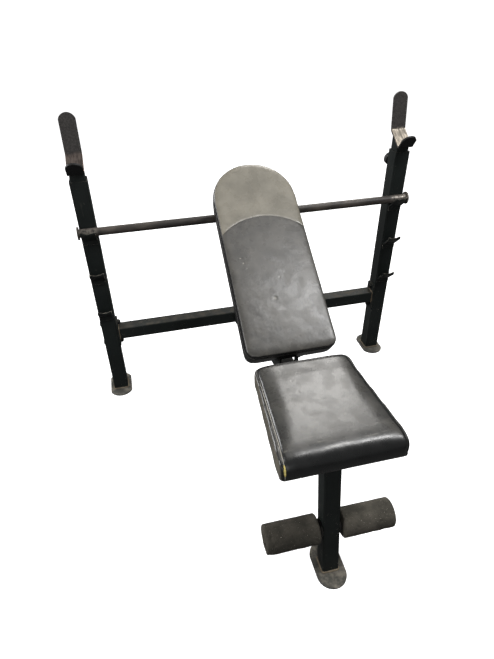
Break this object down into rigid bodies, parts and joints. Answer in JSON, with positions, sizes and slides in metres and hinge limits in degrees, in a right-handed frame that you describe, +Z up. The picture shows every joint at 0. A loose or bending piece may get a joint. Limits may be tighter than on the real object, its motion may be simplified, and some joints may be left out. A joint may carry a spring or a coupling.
{
  "type": "adjustable weight bench",
  "caption": "Weight bench with a seat, a reclining back pad resting on a removable bar, foam leg rollers and a rear rack with height-adjustable barbell cradles.",
  "frame": {"origin": "on the floor, under the middle of the outline of the bench", "axes": "+X to the right for someone facing the rack, +Y to the rear (rack end), +Z up"},
  "size_m": [1.078, 0.981, 0.9605],
  "materials": {
    "black_frame": "satin black powder coat, dusty and lightly scratched",
    "worn_cradle": "black paint worn to bare steel where the bar rests",
    "worn_bar": "brown-black worn steel with rusty ends",
    "dusty_plate": "black paint under grey-brown dust",
    "black_steel": "black oxide steel",
    "zinc_steel": "dull zinc plate",
    "vinyl": "black vinyl with a soft sheen, two tones on the back pad",
    "foam": "matte closed-cell foam with nicks and dust",
    "plywood": "raw plywood",
    "black_plastic": "moulded black"
  },
  "bodies": {
    "frame": {"left_upright": "black_frame", "right_upright": "black_frame", "left_rear_foot": "dusty_plate", "right_rear_foot": "dusty_plate", "crossmember": "black_frame", "left_end_plate": "black_frame", "right_end_plate": "black_frame", "end_plate_bolts": "black_steel", "end_plate_nuts": "zinc_steel", "left_bar_hook_low": "black_frame", "left_bar_hook_middle": "black_frame", "left_bar_hook_top": "black_frame", "right_bar_hook_low": "black_frame", "right_bar_hook_middle": "black_frame", "right_bar_hook_top": "black_frame", "front_post": "black_frame", "front_foot": "dusty_plate", "seat_rail": "black_frame", "spine_rail": "black_frame", "spine_end_plate": "black_frame", "spine_bolts": "black_steel", "spine_nuts": "zinc_steel", "front_seat_strap": "black_frame", "rear_seat_strap": "black_frame", "seat_board": "plywood", "seat_cushion": "vinyl", "seat_bolts": "black_steel", "seat_tee_nuts": "zinc_steel", "left_hinge_ear": "black_frame", "right_hinge_ear": "black_frame", "hinge_bolt": "black_steel", "hinge_nut": "zinc_steel", "roller_bar": "black_steel", "roller_collars": "zinc_steel", "left_clamp_nut": "zinc_steel", "right_clamp_nut": "zinc_steel"},
    "backrest": {"left_back_rail": "black_frame", "right_back_rail": "black_frame", "left_hinge_lug": "black_frame", "right_hinge_lug": "black_frame", "back_cross_ties": "black_frame", "back_rail_caps": "black_plastic", "back_board": "plywood", "back_cushion": "vinyl", "back_bolts": "black_steel", "back_tee_nuts": "zinc_steel"},
    "support_bar": {"support_bar": "worn_bar", "support_bar_flanges": "worn_bar"},
    "left_cradle": {"left_inner_tube": "black_frame", "left_bar_cradle": "worn_cradle"},
    "right_cradle": {"right_inner_tube": "black_frame", "right_bar_cradle": "worn_cradle"},
    "left_clamp": {"left_clamp_screw": "zinc_steel", "left_knob": "black_plastic"},
    "right_clamp": {"right_clamp_screw": "zinc_steel", "right_knob": "black_plastic"},
    "left_roller": {"left_foam_roller": "foam"},
    "right_roller": {"right_foam_roller": "foam"}
  },
  "joints": [
    {"name": "back_recline", "type": "hinge", "parent": "frame", "child": "backrest", "pos_m": [0, -0.0279, 0.39746], "axis": [1, 0, 0], "range_deg": [0, 45]},
    {"name": "bar_lift", "type": "slide", "parent": "frame", "child": "support_bar", "axis": [0, 0, 1], "range_m": [0, 0.06]},
    {"name": "left_cradle_height", "type": "slide", "parent": "frame", "child": "left_cradle", "axis": [0, 0, 1], "range_m": [0, 0.15]},
    {"name": "right_cradle_height", "type": "slide", "parent": "frame", "child": "right_cradle", "axis": [0, 0, 1], "range_m": [0, 0.15]},
    {"name": "left_clamp_turn", "type": "hinge", "parent": "frame", "child": "left_clamp", "pos_m": [-0.501, 0.47, 0.745], "axis": [0, 1, 0], "continuous": true},
    {"name": "right_clamp_turn", "type": "hinge", "parent": "frame", "child": "right_clamp", "pos_m": [0.501, 0.47, 0.745], "axis": [0, 1, 0], "continuous": true},
    {"name": "left_roller_spin", "type": "hinge", "parent": "frame", "child": "left_roller", "pos_m": [-0.1, -0.39937, 0.139], "axis": [1, 0, 0], "continuous": true},
    {"name": "right_roller_spin", "type": "hinge", "parent": "frame", "child": "right_roller", "pos_m": [0.1, -0.39937, 0.139], "axis": [1, 0, 0], "continuous": true}
  ],
  "couplings": [
    {"joint": "bar_lift", "follows": "back_recline", "m_per_rad": 0.0763}
  ]
}
